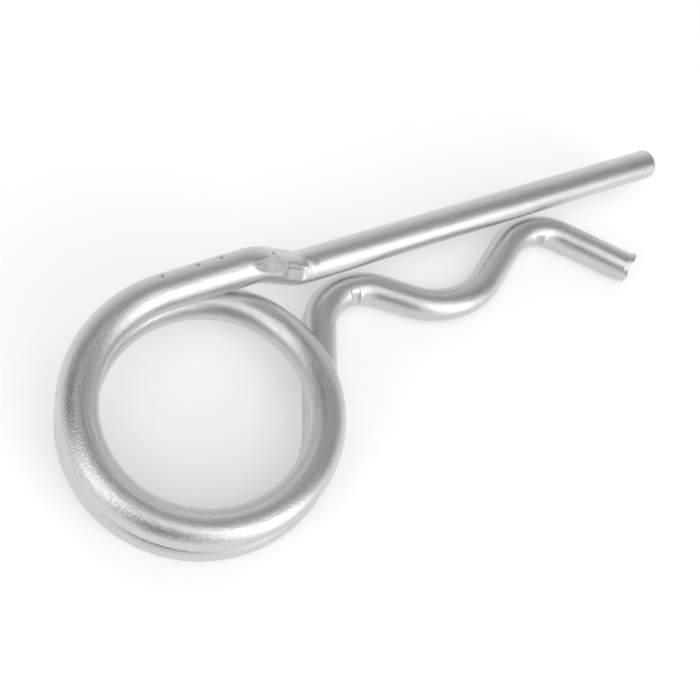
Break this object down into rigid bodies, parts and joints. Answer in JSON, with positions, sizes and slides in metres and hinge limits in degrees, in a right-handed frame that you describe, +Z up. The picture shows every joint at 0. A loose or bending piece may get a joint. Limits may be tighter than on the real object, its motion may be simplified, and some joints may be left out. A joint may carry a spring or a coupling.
{
  "type": "hitch r clip",
  "caption": "Round spring wire R clip: a straight leg for a pin's cross hole, a coiled spring eye to pull it by, and a wavy leg that hugs the pin.",
  "frame": {"origin": "under the middle of the clip's bounding box, on the surface it lies on", "axes": "+X along the straight leg towards its tip, +Y from the wavy leg towards the straight leg, +Z up from the surface the clip lies on"},
  "size_m": [0.0868, 0.0292, 0.0124],
  "materials": {
    "spring_wire": "bright zinc plate over cold drawn spring wire, satin with faint draw lines"
  },
  "bodies": {
    "root": {"r_clip": "spring_wire"}
  },
  "joints": []
}
